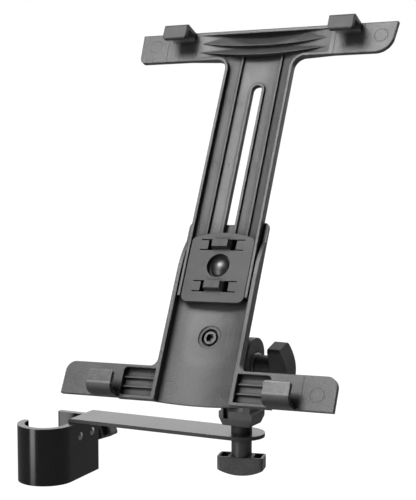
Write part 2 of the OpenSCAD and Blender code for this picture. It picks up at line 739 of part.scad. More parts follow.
module top_hook_body(hook_top) {
    translate([-hook_w / 2, 0, 0]) rotate([90, 0, 90]) linear_extrude(hook_w) difference() {
        union() {
            span(hook_top - hook_t, hook_top, -bar_t, top_hook_reach);
            span(hook_top - top_lip_h, hook_top, top_hook_reach - hook_t, top_hook_reach);
            translate([hook_top - hook_t, top_hook_reach - hook_t]) rotate(180) corner_fill(2);
            translate([hook_top - hook_t, -eps]) mirror([1, 0]) corner_fill(4);
        }
        translate([hook_top, top_hook_reach]) corner_waste(2.2);
        translate([hook_top - top_lip_h, top_hook_reach]) mirror([1, 0]) corner_waste(1.2);
    }
}

module upper_frame() {
    ridge_low = 2.9;
    ridge_high = 9.7;
    step = ridge_high - ridge_low;
    rim_low = top_bar_h - top_rim_t;
    lens_half = 43;
    lens_rise = rim_low - ridge_high;
    lens_r = (pow(lens_half, 2) + pow(lens_rise, 2)) / (2 * lens_rise);
    skin = 1.6;
    back = wave_deep + skin;
    taper_in = slider_half_w + neck_r;
    flange_in = slider_half_w - flange_t;
    color(grey_plastic) at_holder() difference() {
        union() {
            difference() {
                union() {
                    rotate([90, 0, 0]) translate([0, 0, -top_bar_low - ridge_low - 2])
                        linear_extrude(top_bar_low + ridge_low + 2 - slider_end) slider_section();
                    translate([0, 0, -bar_t]) linear_extrude(bar_t)
                        bar_outline(top_bar_half, top_bar_low, top_bar_high, 4, 12, -1);
                    translate([0, 0, -rim_depth]) linear_extrude(rim_depth)
                        bar_rim(top_bar_half, top_bar_low, top_bar_high, 4, 12, -1);
                    rotate([90, 0, 0]) translate([0, 0, -top_bar_high]) linear_extrude(top_bar_h) polygon([
                        [-wave_half - taper_l, 0], [wave_half + taper_l, 0], [wave_half + taper_l, -bar_t],
                        [taper_in, -back], [-taper_in, -back], [-wave_half - taper_l, -bar_t]]);
                    translate([0, 0, -box_depth - skin]) linear_extrude(box_depth + skin)
                        span(-lens_half, lens_half, top_bar_low + ridge_high - 2, top_bar_high);
                    for (side = [0, 1]) mirror([side, 0, 0])
                        translate([slider_half_w - eps, top_bar_low + eps, -back]) mirror([0, 1, 0])
                            linear_extrude(back) corner_fill(neck_r);
                }
                intersection() {
                    fade(wave_deep);
                    louvre(ridge_low, step, wave_r, wave_deep);
                }
                intersection() {
                    fade(wave_deep);
                    louvre(ridge_high, top_bar_h - ridge_high, wave_r, wave_deep);
                }
                intersection() {
                    louvre(ridge_high + 0.3, lens_rise, lens_r, box_depth);
                    translate([-lens_half, top_bar_low + ridge_high, -far]) cube([2 * lens_half, lens_rise, 2 * far]);
                }
                intersection() {
                    fade(wave_deep + 0.8);
                    translate([0, 0, -far / 2]) linear_extrude(far) difference() {
                        span(-wave_half, wave_half, top_bar_low - neck_r, top_bar_high);
                        above_wave(ridge_low);
                        for (side = [0, 1]) mirror([side, 0]) {
                            translate([slider_half_w + neck_r, top_bar_low - neck_r]) circle(neck_r + flange_t, $fn = 96);
                            span(slider_half_w + neck_r, far, -far, top_bar_low + flange_t);
                        }
                    }
                }
                intersection() {
                    rotate([90, 0, 0]) translate([0, 0, -top_bar_low - ridge_low - wave_dip])
                        linear_extrude(ridge_low + wave_dip + neck_r) intersection() {
                            span(-flange_in, flange_in, -far, 1);
                            translate([0, slider_floor_r - slider_back]) circle(slider_floor_r - web_t, $fn = 360);
                        }
                    translate([0, 0, -far / 2]) linear_extrude(far) difference() {
                        span(-far, far, -far, top_bar_high);
                        above_wave(ridge_low);
                    }
                }
            }
            for (side = [0, 1]) mirror([side, 0, 0]) {
                translate([long_rib_u - long_rib_t / 2, slider_end, -web_front(long_rib_u) - 1])
                    cube([long_rib_t, top_bar_low - slider_end + ridge_low + 0.5, long_rib_h + 1]);
                translate([hook_u, 0, 0]) top_hook();
            }
            translate([0, 0, -web_front(0) - 1]) linear_extrude(slot_rim_h + 1) slot_outline(slot_rim_t);
        }
        translate([0, 0, -far / 2]) linear_extrude(far) slot_outline(0);
    }
}

// The spring slots on both sides of one clip tab
module clip_slots() {
    slot_l = 15.6;
    slot_h = 7;
    for (side = [0, 1]) mirror([side, 0]) {
        for (v = [-slot_h / 2, slot_h / 2]) span(tab_half + 1, slot_l, v - 0.35, v + 0.35);
        span(tab_half, tab_half + 4.8, -slot_h / 2, slot_h / 2);
    }
}

module slide_plate() {
    arch_r = (pow(plate_half_w, 2) + pow(plate_arch, 2)) / (2 * plate_arch);
    top_v = plate_high + plate_arch;
    boss_r = slot_half_w - 0.3;
    back = plate_sink + plate_t;
    boss_seat = -channel_depth + pow(boss_r, 2) / (2 * floor_r);
    color(grey_plastic) at_holder() translate([0, screw_v, 0]) difference() {
        union() {
            translate([0, 0, -back]) linear_extrude(plate_t) difference() {
                intersection() {
                    span(-plate_half_w, plate_half_w, -plate_low, top_v);
                    translate([0, top_v - arch_r]) circle(arch_r, $fn = 180);
                }
                for (side = [0, 1]) mirror([side, 0]) {
                    translate([plate_half_w, -plate_low]) mirror([0, 1]) corner_waste(4.5);
                    translate([plate_half_w, plate_high]) rotate(45) translate([-0.8, -4]) square([6, 8]);
                }
                clip_slots_pair();
            }
            for (v = [-1, 1]) translate([-tab_half, v * clip_v - 3.2, -back]) cube([2 * tab_half, 6.4, back + tab_rise]);
            translate([0, 0, boss_seat]) cylinder(r = boss_r, h = -boss_seat - back + eps);
            translate([0, 0, -screw_seat - 1]) cylinder(r = head_hole_r + 1, h = screw_seat + 1 - back + eps);
        }
        translate([0, 0, -screw_seat]) cylinder(r = head_hole_r, h = screw_seat + 1);
        translate([0, 0, -channel_depth - 1]) cylinder(r = slide_screw_r + shank_gap, h = channel_depth, $fn = 32);
    }
}

module clip_slots_pair() {
    for (v = [-clip_v, clip_v]) translate([0, v]) clip_slots();
}

module slide_screw() {
    head_h = 2.6;
    dome_r = (pow(head_r, 2) + pow(head_h, 2)) / (2 * head_h);
    seat = screw_seat;
    color(bright_steel) at_holder() translate([0, screw_v, 0]) {
        intersection() {
            translate([0, 0, -seat]) cylinder(r = head_r, h = head_h);
            translate([0, 0, -seat + head_h - dome_r]) sphere(dome_r, $fn = 96);
        }
        translate([0, 0, -nut_seat - 1 - nut_t]) cylinder(r = slide_screw_r, h = nut_seat + 1 + nut_t - seat + eps, $fn = 32);
    }
}

module slide_nut() {
    color(bright_steel) at_holder() translate([0, screw_v, -nut_seat - 1 - nut_t]) difference() {
        cylinder(r = nut_r - 1, h = nut_t, $fn = 6);
        translate([0, 0, -1]) cylinder(r = slide_screw_r + shank_gap, h = nut_t + 2, $fn = 32);
    }
}

module slide_washer() {
    color(bright_steel) at_holder() translate([0, screw_v, -nut_seat - 1]) ring(8, slide_screw_r + shank_gap, 1);
}

clamp_jaw();
support_arm();
clamp_rivets();
pressure_pad();
clamp_screw();
clamp_knob();
swivel_bolt();
swivel_knob();
swivel_washer();
swivel_spacer();
yoke();
tilt_bolt();
tilt_knob();
tilt_washer();
tilt_nut();
pivot_head();
friction_ring();
pivot_screw();
pivot_washer();
lower_frame();
slide_plate();
slide_screw();
slide_nut();
slide_washer();
upper_frame();
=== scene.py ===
import json
import math
import bmesh
import bpy
from mathutils import Matrix, Vector


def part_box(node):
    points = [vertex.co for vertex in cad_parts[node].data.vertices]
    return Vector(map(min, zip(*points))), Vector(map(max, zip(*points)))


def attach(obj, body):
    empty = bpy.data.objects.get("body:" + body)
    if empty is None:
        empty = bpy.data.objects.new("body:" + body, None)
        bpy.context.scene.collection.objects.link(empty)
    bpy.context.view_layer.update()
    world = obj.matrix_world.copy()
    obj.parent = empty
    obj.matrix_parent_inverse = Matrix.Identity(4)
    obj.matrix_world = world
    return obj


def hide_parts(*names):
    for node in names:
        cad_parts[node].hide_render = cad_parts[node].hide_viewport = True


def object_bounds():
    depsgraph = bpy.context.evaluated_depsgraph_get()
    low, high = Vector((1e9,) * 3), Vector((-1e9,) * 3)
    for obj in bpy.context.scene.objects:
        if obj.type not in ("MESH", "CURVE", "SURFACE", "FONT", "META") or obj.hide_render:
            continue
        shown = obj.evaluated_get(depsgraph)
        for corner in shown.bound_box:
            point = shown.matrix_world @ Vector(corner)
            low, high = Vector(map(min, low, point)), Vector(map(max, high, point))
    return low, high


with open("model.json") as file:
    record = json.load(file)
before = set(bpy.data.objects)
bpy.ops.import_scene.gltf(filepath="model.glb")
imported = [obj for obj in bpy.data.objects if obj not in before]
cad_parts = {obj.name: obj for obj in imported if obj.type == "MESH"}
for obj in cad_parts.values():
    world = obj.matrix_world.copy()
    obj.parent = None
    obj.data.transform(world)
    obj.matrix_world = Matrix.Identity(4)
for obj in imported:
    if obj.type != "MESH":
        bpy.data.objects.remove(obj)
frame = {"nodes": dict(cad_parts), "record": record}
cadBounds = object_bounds()
print("frame loaded:", len(frame["nodes"]), "nodes")

# where the holder stands: its pivot, and its across, up and outward directions
mmPerMetre = 1000
joints = {joint["name"]: joint for joint in frame["record"]["behaviour"]["joints"]}
holderAt = Vector(joints["holder_turn"]["pos_m"])
outDir = Vector(joints["holder_turn"]["axis"]).normalized()
upDir = Vector(joints["extension_slide"]["axis"]).normalized()
acrossDir = upDir.cross(outDir).normalized()


def holderPoint(across, up, out):
    # a point given in the holder's own plane, in millimetres
    return holderAt + (acrossDir * across + upDir * up + outDir * out) / mmPerMetre


# node helpers

class Signal:
    # one number or colour that changes over a surface; the operators add Math nodes
    def __init__(self, tree, socket):
        self.tree = tree
        self.socket = socket

    def join(self, operation, other, flipped=False):
        pair = (other, self) if flipped else (self, other)
        return self.tree.add("Math", {"operation": operation}, {0: pair[0], 1: pair[1]}).out(0)

    def __add__(self, other):
        return self.join("ADD", other)

    def __radd__(self, other):
        return self.join("ADD", other, True)

    def __sub__(self, other):
        return self.join("SUBTRACT", other)

    def __rsub__(self, other):
        return self.join("SUBTRACT", other, True)

    def __mul__(self, other):
        return self.join("MULTIPLY", other)

    def __truediv__(self, other):
        return self.join("DIVIDE", other)

    def __pow__(self, other):
        return self.join("POWER", other)

    def atLeast(self, other):
        return self.join("MAXIMUM", other)

    def size(self):
        return self.tree.add("Math", {"operation": "ABSOLUTE"}, {0: self}).out(0)

    def ramp(self, low, high, start=0.0, end=1.0):
        # smooth step from start to end while the signal goes from low to high
        return self.tree.add("MapRange", {"interpolation_type": "SMOOTHSTEP"}, {
            "Value": self, "From Min": low, "From Max": high, "To Min": start, "To Max": end}).out(0)

    def fade(self, low, high):
        # 1 below low, 0 above high
        return self.ramp(low, high, 1.0, 0.0)


class Step:
    # a node that has been added; out() gives one of its outputs
    def __init__(self, tree, node):
        self.tree = tree
        self.node = node

    def out(self, key):
        return Signal(self.tree, self.node.outputs[key])


class Tree:
    # a node tree with one way to add any node
    def __init__(self, tree, family):
        self.tree = tree
        self.family = family

    def add(self, kind, settings=None, sockets=None):
        node = self.tree.nodes.new(kind if kind.startswith("Node") else self.family + kind)
        for name, value in (settings or {}).items():
            setattr(node, name, value)
        for key, value in (sockets or {}).items():
            self.feed(node.inputs[key], value)
        return Step(self, node)

    def dot(self, first, second):
        return self.add("VectorMath", {"operation": "DOT_PRODUCT"}, {0: first, 1: second}).out(1)

    def feed(self, socket, value):
        if isinstance(value, Signal):
            self.tree.links.new(value.socket, socket)
        else:
            socket.default_value = value


class Finish(Tree):
    # a material: the tree, the surface shader and the coordinates that patterns read
    edgeSamples = 4
    edgeRamp = (0.01, 0.2)

    def __init__(self, name):
        self.material = bpy.data.materials.new(name)
        self.material.use_nodes = True
        super().__init__(self.material.node_tree, "ShaderNode")
        self.tree.nodes.clear()
        self.surface = self.add("BsdfPrincipled")
        self.output = self.add("OutputMaterial", None, {"Surface": self.surface.out(0)})
        self.place = self.add("TexCoord").out("Object")

    def set(self, values):
        for name, value in values.items():
            self.feed(self.surface.node.inputs[name], value)

    def noise(self, scale, detail, roughness, stretch=None):
        place = self.place
        if stretch:
            place = self.add("Mapping", None, {"Vector": place, "Scale": stretch}).out(0)
        return self.add("TexNoise", None, {"Vector": place, "Scale": scale, "Detail": detail,
                                           "Roughness": roughness}).out(0)

    def along(self, origin, direction):
        # distance of the surface point from origin along a direction, in millimetres
        moved = self.add("VectorMath", {"operation": "SUBTRACT"}, {0: self.place, 1: tuple(origin)}).out(0)
        return self.dot(moved, tuple(Vector(direction) * mmPerMetre))

    def across(self):
        return self.along(holderAt, acrossDir)

    def up(self):
        return self.along(holderAt, upDir)

    def outward(self):
        return self.along(holderAt, outDir)

    def blend(self, mask, under, over):
        # the colour under where the mask is 0, the colour over where it is 1
        return self.add("Mix", {"data_type": "RGBA"}, {0: mask, 6: under, 7: over}).out(2)

    def rounded(self, radius):
        # the normal that the surface would have with its edges rounded off
        return self.add("Bevel", {"samples": self.edgeSamples}, {"Radius": radius}).out(0)

    def edges(self, radius):
        # 1 on rounded-off edges, 0 on flats
        match = self.dot(self.rounded(radius), self.add("NewGeometry").out("Normal"))
        return (1 - match).ramp(*self.edgeRamp)

    def openness(self, samples, distance):
        # 1 in the open, less in inner corners, as far as distance reaches
        return self.add("AmbientOcclusion", {"samples": samples}, {"Distance": distance}).out("AO")

    def relief(self, height, distance, strength, edgeRadius):
        bump = self.add("Bump", None, {"Height": height, "Distance": distance, "Strength": strength,
                                       "Normal": self.rounded(edgeRadius)})
        self.set({"Normal": bump.out(0)})


def weighted(signals, parts):
    # the signals added up, each times its part
    return sum(signal * part for signal, part in zip(signals, parts))


def grey(value, warm=0.0):
    return (value * (1 + warm), value, value * (1 - warm), 1.0)


# materials
# a noise is its scale, detail and roughness, a ramp is where it starts and ends, a shade is how much
# of a mark's colour shows, and a tone is a multiple of the material's own

plastic = {"cloud": (28.0, 4.0, 0.6), "flow": (75.0, 5.0, 0.65), "grainNoise": (2.0, 0.6),
           "speckNoise": (1.0, 0.5), "speckFiner": 2.3, "scratch": (260.0, 3.0, 0.5),
           "scratchStretch": (1.0, 0.07, 0.07), "scratchRamp": (0.66, 0.74), "bumpStrength": 0.55,
           "mottleParts": (0.3, 0.3, 0.3, 0.1), "mottleRamp": (0.38, 0.62), "darkTone": 0.6, "lightTone": 1.3,
           "heightParts": (0.7, 0.3, -0.3), "roughParts": (0.14, 0.22, -0.12, 0.08, 0.28)}
# edges drawn lighter: partly wear, partly a painted highlight
edgeWearAndHighlight = {"cloudRamp": (0.3, 0.65), "shade": 0.4, "tone": 2.0}
# painted shade in the inner corners
cornerPaintedShade = {"samples": 6, "ramp": (0.5, 0.97), "shade": 0.9, "tone": 0.15}
pinMark = {"ramp": (0.1, 0.42), "depth": 0.8, "shade": 0.24, "tone": 0.45}
seamMark = {"ramp": (0.06, 0.3), "end": 0.5, "rise": 0.8, "shade": 0.4, "tone": 0.5}
# painted shade for the upper bar's deep places and the top hooks' lips
hollowPaintedShade = {"edge": 1.0, "deepRamp": (-4.0, -0.6), "lipRamp": (8.0, 11.0), "shadeParts": (0.7, 0.4),
              "tone": 0.3, "duller": 0.12}
# painted highlights and painted shade on the lower hooks
hookPaintedLight = {"lipRamp": (2.0, 6.0), "shade": 0.8, "tone": 1.6, "smoother": 0.14, "edgeShade": 0.6,
            "bendRamp": (-41.2, -40.2), "bendShade": 0.7, "bendTone": 0.3, "bendDuller": 0.25,
            "lineUp": -39.8, "lineRamp": (0.2, 0.9), "lineShade": 0.5, "highlightTone": 4.5}
# painted sheen round the pivot
haloPaintedSheen = {"wide": 14.5, "tall": 17.0, "power": 4, "ramp": (0.0, 0.34), "cloudRamp": (0.25, 0.6, 0.5, 1.0),
            "shade": 0.22, "tone": 2.0, "smoother": 0.03}


class PlasticSkin:
    # what the marks on a moulded plastic change: its colour, its height and its polish
    def __init__(self, look, tone, base, height):
        self.look = look
        self.tone = tone
        self.base = base
        self.height = height
        self.polish = 0.0

    def shade(self, mask, tone):
        self.base = self.look.blend(mask, self.base, grey(self.tone * tone))

    def pins(self, places):
        # the faint rings that ejector pins leave
        for across, up, radius in places:
            u = self.look.across() - across
            v = self.look.up() - up
            ring = ((u * u + v * v) ** 0.5 - radius).size().fade(*pinMark["ramp"])
            self.height = self.height - ring * pinMark["depth"]
            self.shade(ring * pinMark["shade"], pinMark["tone"])

    def seams(self, lines):
        # fine lines where two parts of the mould met
        for across, low, high in lines:
            v = self.look.up()
            line = (self.look.across() - across).size().fade(*seamMark["ramp"])
            line = line * v.ramp(low - seamMark["end"], low) * v.fade(high, high + seamMark["end"])
            self.height = self.height + line * seamMark["rise"]
            self.shade(line * seamMark["shade"], seamMark["tone"])

    def paintHollowShade(self, start):
        # painted shade: above start, the mould's deep places and the top hooks' lips are drawn darker, and
        # rougher
        high = self.look.up().ramp(start, start + hollowPaintedShade["edge"])
        out = self.look.outward()
        deep = high * out.fade(*hollowPaintedShade["deepRamp"])
        lip = high * out.ramp(*hollowPaintedShade["lipRamp"])
        self.shade(weighted((deep, lip), hollowPaintedShade["shadeParts"]), hollowPaintedShade["tone"])
        self.polish = self.polish - (deep + lip) * hollowPaintedShade["duller"]

    def paintHookLight(self, roundedEdges):
        # painted light on the lower hooks: lighter lips with a painted highlight on their edges, painted
        # shade on the bend and a painted highlight line where the bend begins; the lips are also smoother and
        # the bend rougher
        lip = self.look.outward().ramp(*hookPaintedLight["lipRamp"])
        up = self.look.up()
        bend = lip * up.fade(*hookPaintedLight["bendRamp"])
        line = lip * (up - hookPaintedLight["lineUp"]).size().fade(*hookPaintedLight["lineRamp"])
        self.shade(lip * hookPaintedLight["shade"], hookPaintedLight["tone"])
        self.shade(roundedEdges * lip * hookPaintedLight["edgeShade"], hookPaintedLight["highlightTone"])
        self.shade(bend * hookPaintedLight["bendShade"], hookPaintedLight["bendTone"])
        self.shade(line * hookPaintedLight["lineShade"], hookPaintedLight["highlightTone"])
        self.polish = self.polish + lip * hookPaintedLight["smoother"] - bend * hookPaintedLight["bendDuller"]

    def paintHaloSheen(self, cloud):
        # a rounded square round the pivot, drawn lighter as a painted sheen, and a little smoother
        u = self.look.across() / haloPaintedSheen["wide"]
        v = self.look.up() / haloPaintedSheen["tall"]
        power = haloPaintedSheen["power"]
        ring = ((u ** power + v ** power) ** (1 / power) - 1).size().fade(*haloPaintedSheen["ramp"])
        ring = ring * cloud.ramp(*haloPaintedSheen["cloudRamp"])
        self.shade(ring * haloPaintedSheen["shade"], haloPaintedSheen["tone"])
        self.polish = ring * haloPaintedSheen["smoother"] + self.polish


def mouldedPlastic(name, settings):
    # moulded plastic with a spark-eroded grain, lighter edges that are partly wear and partly a painted
    # highlight, painted shade in the inner corners and a few faint scratches
    look = Finish(name)
    tone = settings["tone"]
    cloud = look.noise(*plastic["cloud"])
    flow = look.noise(*plastic["flow"])
    grain = look.noise(settings["grain"], *plastic["grainNoise"])
    speck = look.noise(settings["grain"] * plastic["speckFiner"], *plastic["speckNoise"])
    scratch = look.noise(*plastic["scratch"], stretch=plastic["scratchStretch"]).ramp(*plastic["scratchRamp"])
    roundedEdges = look.edges(settings["edge"])
    # painted shade: the inner corners are drawn darker, and also rougher
    corner = look.openness(cornerPaintedShade["samples"], settings["corner"]).fade(*cornerPaintedShade["ramp"])
    mottle = weighted((cloud, flow, grain, speck), plastic["mottleParts"]).ramp(*plastic["mottleRamp"])
    base = look.blend(mottle, grey(tone * plastic["darkTone"]), grey(tone * plastic["lightTone"]))
    skin = PlasticSkin(look, tone, base, weighted((grain, speck, scratch), plastic["heightParts"]))
    # the rounded edges are drawn lighter: partly wear, partly a painted highlight
    skin.shade(roundedEdges * cloud.ramp(*edgeWearAndHighlight["cloudRamp"]) * edgeWearAndHighlight["shade"], edgeWearAndHighlight["tone"])
    # painted shade in the inner corners
    skin.shade(corner * cornerPaintedShade["shade"], cornerPaintedShade["tone"])
    skin.pins(settings.get("pins", ()))
    skin.seams(settings.get("seams", ()))
    # painted shade on the upper frame's deep places and hook lips
    if "hollowFrom" in settings:
        skin.paintHollowShade(settings["hollowFrom"])
    # painted light on the lower hooks and a painted sheen round the pivot
    if "wearAndPaintedLight" in settings:
        skin.paintHookLight(roundedEdges)
        skin.paintHaloSheen(cloud)
    change = weighted((grain - 0.5, flow - 0.5, roundedEdges, scratch, corner), plastic["roughParts"])
    look.set({"Base Color": skin.base, "Roughness": settings["rough"] + change - skin.polish,
              "IOR": settings["ior"]})
    look.relief(skin.height, settings["bump"], plastic["bumpStrength"], settings["round"])
    print("finish", name)
    return look.material


coat = {"peel": (900.0, 2.0, 0.5), "peelDepth": 0.00004, "cloud": (45.0, 4.0, 0.6),
        "fleck": (2600.0, 1.0, 0.5), "fleckRamp": (0.66, 0.78), "fleckShade": 0.3, "fleckTone": 4.0,
        "darkTone": 0.75, "lightTone": 1.3, "wornRamp": (0.35, 0.7), "wornShade": 0.35,
        "metalRamp": (0.5, 0.8), "metalShade": 0.4, "uprightRamp": (0.3, 0.7), "cloudRough": 0.12,
        "fleckRough": 0.1}


def coatedSteel(name, settings):
    # smooth dark coat over metal: slight orange peel, dust-fine flecks, worn edges
    look = Finish(name)
    tone = settings["tone"]
    peel = look.noise(*coat["peel"])
    cloud = look.noise(*coat["cloud"])
    fleck = look.noise(*coat["fleck"]).ramp(*coat["fleckRamp"])
    wearAndPaintedLight = look.edges(settings["edge"])
    # a cut strip's upright sides are duller than its rolled faces
    side = look.dot(look.add("NewGeometry").out("Normal"), (0, 0, 1)).size().fade(*coat["uprightRamp"])
    base = look.blend(cloud, grey(tone * coat["darkTone"]), grey(tone * coat["lightTone"]))
    base = look.blend(fleck * coat["fleckShade"], base, grey(tone * coat["fleckTone"]))
    base = look.blend(wearAndPaintedLight * cloud.ramp(*coat["wornRamp"]) * coat["wornShade"], base, grey(settings["bare"]))
    rough = settings["rough"] + (cloud - 0.5) * coat["cloudRough"] + fleck * coat["fleckRough"]
    look.set({"Base Color": base, "Roughness": rough + side * settings["sides"], "IOR": settings["ior"],
              "Metallic": wearAndPaintedLight * cloud.ramp(*coat["metalRamp"]) * coat["metalShade"]})
    look.relief(peel, coat["peelDepth"], settings["peel"], settings["round"])
    print("finish", name)
    return look.material


plating = {"cloud": (120.0, 4.0, 0.6), "fine": (1500.0, 2.0, 0.5), "smut": (350.0, 3.0, 0.6),
           "smutRamp": (0.58, 0.72), "smutShade": 0.4, "smutTone": 0.4, "smutRough": 0.15,
           "brushed": (700.0, 2.0, 0.5), "brushStretch": (1.0, 0.12, 1.0), "brushRough": 0.2,
           "baseParts": (0.6, 0.4), "darkTone": 0.8, "darkWarmth": 0.01, "lightTone": 1.2,
           "lightWarmth": -0.005, "edge": 0.0005, "edgeShade": 0.5, "edgeTone": 1.5,
           "heightParts": (0.6, 0.4), "depth": 0.00003, "strength": 0.3, "round": 0.00025}


def platedSteel(name, settings):
    # plated steel: brushed lines, a soft spangle, darker marks and bright edges
    look = Finish(name)
    tone = settings["tone"]
    cloud = look.noise(*plating["cloud"])
    fine = look.noise(*plating["fine"])
    smut = look.noise(*plating["smut"]).ramp(*plating["smutRamp"])
    brushed = look.noise(*plating["brushed"], stretch=plating["brushStretch"])
    wearAndPaintedLight = look.edges(plating["edge"])
    base = look.blend(weighted((cloud, fine), plating["baseParts"]),
                      grey(tone * plating["darkTone"], plating["darkWarmth"]),
                      grey(tone * plating["lightTone"], plating["lightWarmth"]))
    base = look.blend(smut * plating["smutShade"], base, grey(tone * plating["smutTone"]))
    base = look.blend(wearAndPaintedLight * plating["edgeShade"], base, grey(tone * plating["edgeTone"]))
    rough = settings["rough"] + (brushed - 0.5) * plating["brushRough"] + smut * plating["smutRough"]
    look.set({"Base Color": base, "Roughness": rough, "Metallic": 1.0})
    look.relief(weighted((brushed, fine), plating["heightParts"]), plating["depth"], plating["strength"],
                plating["round"])
    print("finish", name)
    return look.material


rubber = {"tone": 0.028, "cloud": (90.0, 4.0, 0.6), "darkTone": 0.7, "lightTone": 1.4,
          "pore": (2200.0, 2.0, 0.6), "poreRough": 0.2, "poreDepth": 0.00006, "poreStrength": 0.5,
          "dust": (300.0, 3.0, 0.6), "dustRamp": (0.55, 0.8), "dustShade": 0.2, "dustTone": 0.16,
          "rough": 0.72, "round": 0.0003}


def blackRubber(name):
    # black rubber with fine pores and a little dust
    look = Finish(name)
    tone = rubber["tone"]
    cloud = look.noise(*rubber["cloud"])
    pore = look.noise(*rubber["pore"])
    dust = look.noise(*rubber["dust"]).ramp(*rubber["dustRamp"])
    base = look.blend(cloud, grey(tone * rubber["darkTone"]), grey(tone * rubber["lightTone"]))
    base = look.blend(dust * rubber["dustShade"], base, grey(rubber["dustTone"]))
    look.set({"Base Color": base, "Roughness": rubber["rough"] + (pore - 0.5) * rubber["poreRough"]})
    look.relief(pore, rubber["poreDepth"], rubber["poreStrength"], rubber["round"])
    print("finish", name)
    return look.material


# ejector pins as across, up and radius, and mould seams as across, low end and high end, in millimetres
endPin = 4.6
floorPin = 1.7
upperPins = [(-84.2, 212.2, endPin), (85.5, 211.7, endPin), (-21.6, 202.0, 2.0),
             (-19.4, 167.1, floorPin), (-11.0, 166.7, floorPin), (8.8, 166.7, floorPin),
             (19.4, 167.0, floorPin), (-11.2, 120.8, floorPin), (9.0, 121.0, floorPin),
             (-19.6, 121.0, floorPin), (19.6, 121.0, floorPin), (-19.6, 76.2, floorPin),
             (-10.7, 76.1, floorPin), (9.3, 76.4, floorPin)]
lowerPins = [(84.0, -36.0, endPin), (-84.0, -36.0, endPin), (-20.0, -36.0, 4.4), (20.0, -36.5, 4.2),
             (33.6, -33.0, floorPin), (-33.6, -33.0, floorPin), (0.0, 0.0, 7.0)]
platePins = [(-1.0, 61.0, 1.5), (-1.0, 32.0, 1.5)]
upperSeams = [(-73.6, 199.6, 221.4), (73.0, 199.6, 221.4), (53.0, 199.6, 217.0), (-53.0, 199.6, 216.0)]
lowerSeams = [(73.8, -45.4, -23.7), (-73.8, -45.4, -23.7)]

finishes = {
    "upperPlastic": mouldedPlastic("upper frame plastic", {
        "tone": 0.045, "rough": 0.42, "ior": 1.5, "grain": 1250.0, "bump": 0.00019, "edge": 0.0009,
        "round": 0.0012, "corner": 0.012, "hollowFrom": 199.0, "pins": upperPins, "seams": upperSeams}),
    # the lower frame's plastic gets painted light on its hooks and a painted sheen round its pivot
    "lowerPlastic": mouldedPlastic("lower frame plastic", {
        "tone": 0.045, "rough": 0.42, "ior": 1.5, "grain": 1250.0, "bump": 0.00019, "edge": 0.0009,
        "round": 0.0009, "corner": 0.006, "wearAndPaintedLight": True, "pins": lowerPins, "seams": lowerSeams}),
    "platePlastic": mouldedPlastic("slide plate plastic", {
        "tone": 0.03, "rough": 0.5, "ior": 1.44, "grain": 1300.0, "bump": 0.00014, "edge": 0.0008,
        "round": 0.0004, "corner": 0.004, "pins": platePins}),
    "yokePlastic": mouldedPlastic("yoke plastic", {
        "tone": 0.05, "rough": 0.46, "ior": 1.5, "grain": 1600.0, "bump": 0.00009, "edge": 0.0010,
        "round": 0.0006, "corner": 0.008}),
    "knobPlastic": mouldedPlastic("knob plastic", {
        "tone": 0.062, "rough": 0.42, "ior": 1.5, "grain": 1100.0, "bump": 0.00015, "edge": 0.0011,
        "round": 0.0008, "corner": 0.008}),
    # a darker copy of the knob plastic: painted shade on the tilt knob
    "shadedKnobPlastic": mouldedPlastic("tilt knob plastic", {
        "tone": 0.03, "rough": 0.52, "ior": 1.45, "grain": 1100.0, "bump": 0.00015, "edge": 0.0011,
        "round": 0.0008, "corner": 0.008}),
    "jawCoat": coatedSteel("jaw black coat", {
        "tone": 0.003, "rough": 0.16, "ior": 1.5, "peel": 0.1, "edge": 0.0009, "round": 0.0006, "sides": 0.0,
        "bare": 0.2}),
    "armCoat": coatedSteel("arm satin coat", {
        "tone": 0.022, "rough": 0.26, "ior": 1.75, "peel": 0.3, "edge": 0.0002, "round": 0.0002, "sides": 0.6,
        "bare": 0.05}),
    "brightSteel": platedSteel("zinc plated steel", {"tone": 0.5, "rough": 0.34}),
    # a darker copy of the plated steel: painted shade on the slide screw in its well
    "wellShadedSteel": platedSteel("darker plated steel", {"tone": 0.09, "rough": 0.4}),
    "darkSteel": platedSteel("blackened steel", {"tone": 0.055, "rough": 0.36}),
    "rivetSteel": platedSteel("dull rivet steel", {"tone": 0.42, "rough": 0.34}),
    "padRubber": blackRubber("pad rubber"),
}

# pieces from the solids
# join and cut are in metres, leastFlat and noArea in square metres, and openEdgeAngle, in radians, stands
# for an edge without two faces: it is past every sharp angle

meshSet = {"join": 2e-6, "cut": 1e-7, "leastFlat": 6e-6, "samePlane": 0.99999, "noArea": 1e-15,
           "openEdgeAngle": 4.0}


def bodyOf(node):
    return next(body for body, nodes in frame["record"]["behaviour"]["bodies"].items() if node in nodes)


def finishPiece(piece, node, finish):
    piece.data.materials.clear()
    piece.data.materials.append(finishes[finish])
    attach(piece, bodyOf(node))
    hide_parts(node)


def largeFlats(shape, leastArea):
    # faces that lie in one plane with their neighbours over at least that area, in square metres
    shape.faces.ensure_lookup_table()
    shape.faces.index_update()
    seen = set()
    large = set()
    for first in shape.faces:
        if first.index in seen:
            continue
        seen.add(first.index)
        region = [first]
        for face in region:
            for edge in face.edges:
                for other in edge.link_faces:
                    if other.index not in seen and other.normal.dot(first.normal) > meshSet["samePlane"]:
                        seen.add(other.index)
                        region.append(other)
        if sum(face.calc_area() for face in region) > leastArea:
            large.update(face.index for face in region)
    return large


# the slide plate's clip tabs, in millimetres in the holder's plane
clipTabs = {"ups": (60.9, 32.1), "half": 5.3, "tall": 6.4, "height": 2.6, "wider": 1.3, "leftSlope": 0.3,
            "rightSlope": 1.7, "lowSlope": 1.2, "highSlope": 0.3, "near": 0.05, "nearUp": 0.4,
            "nearFace": 0.01}


